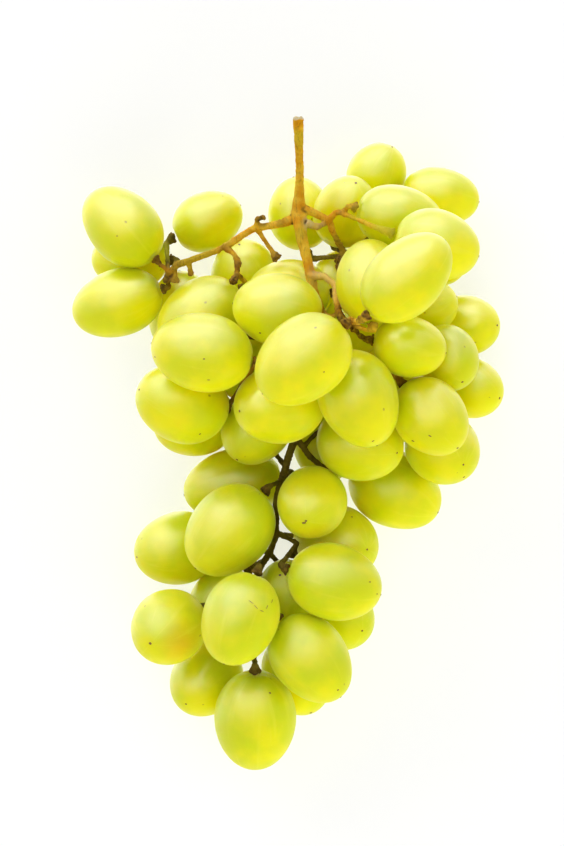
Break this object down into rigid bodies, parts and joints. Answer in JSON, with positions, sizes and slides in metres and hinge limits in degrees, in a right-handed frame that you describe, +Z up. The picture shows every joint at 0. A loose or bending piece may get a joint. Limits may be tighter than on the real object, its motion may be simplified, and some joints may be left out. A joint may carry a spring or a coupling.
{
  "type": "bunch of grapes",
  "caption": "Bunch of pale yellow-green table grapes with shoulders and a tapering tail on a branched woody stem, lying on its side.",
  "frame": {"origin": "on the surface that the bunch lies on, below the middle of its bounding box", "axes": "+Y along the bunch from its tail to the cut end of its stalk, +Z up, +X towards the right shoulder seen from above"},
  "size_m": [0.1258, 0.1888, 0.0832],
  "materials": {
    "stem_wood": "matt fibrous stem, orange tan on top, olive and brown in the shade, with dark dried tips",
    "grape_skin": "smooth, slightly translucent grape skin with a faint waxy bloom and small brown specks"
  },
  "bodies": {
    "root": {"stem": "stem_wood", "berry_shoulder_left_1": "grape_skin", "berry_shoulder_left_2": "grape_skin", "berry_shoulder_left_3": "grape_skin", "berry_shoulder_left_4": "grape_skin", "berry_crown_left_1": "grape_skin", "berry_crown_left_2": "grape_skin", "berry_crown_left_3": "grape_skin", "berry_left_1": "grape_skin", "berry_left_2": "grape_skin", "berry_left_3": "grape_skin", "berry_left_4": "grape_skin", "berry_left_5": "grape_skin", "berry_left_6": "grape_skin", "berry_middle_1": "grape_skin", "berry_middle_2": "grape_skin", "berry_middle_3": "grape_skin", "berry_middle_4": "grape_skin", "berry_middle_5": "grape_skin", "berry_middle_6": "grape_skin", "berry_middle_7": "grape_skin", "berry_middle_8": "grape_skin", "berry_tail_1": "grape_skin", "berry_tail_2": "grape_skin", "berry_tail_3": "grape_skin", "berry_tail_4": "grape_skin", "berry_tail_5": "grape_skin", "berry_tail_6": "grape_skin", "berry_tail_7": "grape_skin", "berry_tail_8": "grape_skin", "berry_tail_9": "grape_skin", "berry_tail_10": "grape_skin", "berry_tail_11": "grape_skin", "berry_tail_12": "grape_skin", "berry_tail_13": "grape_skin", "berry_tail_14": "grape_skin", "berry_shoulder_right_1": "grape_skin", "berry_shoulder_right_2": "grape_skin", "berry_shoulder_right_3": "grape_skin", "berry_shoulder_right_4": "grape_skin", "berry_shoulder_right_5": "grape_skin", "berry_shoulder_right_6": "grape_skin", "berry_shoulder_right_7": "grape_skin", "berry_shoulder_right_8": "grape_skin", "berry_right_1": "grape_skin", "berry_right_2": "grape_skin", "berry_right_3": "grape_skin", "berry_right_4": "grape_skin", "berry_right_5": "grape_skin", "berry_right_6": "grape_skin", "berry_right_7": "grape_skin", "berry_right_8": "grape_skin", "berry_under_5": "grape_skin", "berry_under_4": "grape_skin", "berry_under_3": "grape_skin", "berry_under_2": "grape_skin", "berry_under_1": "grape_skin"}
  },
  "joints": []
}
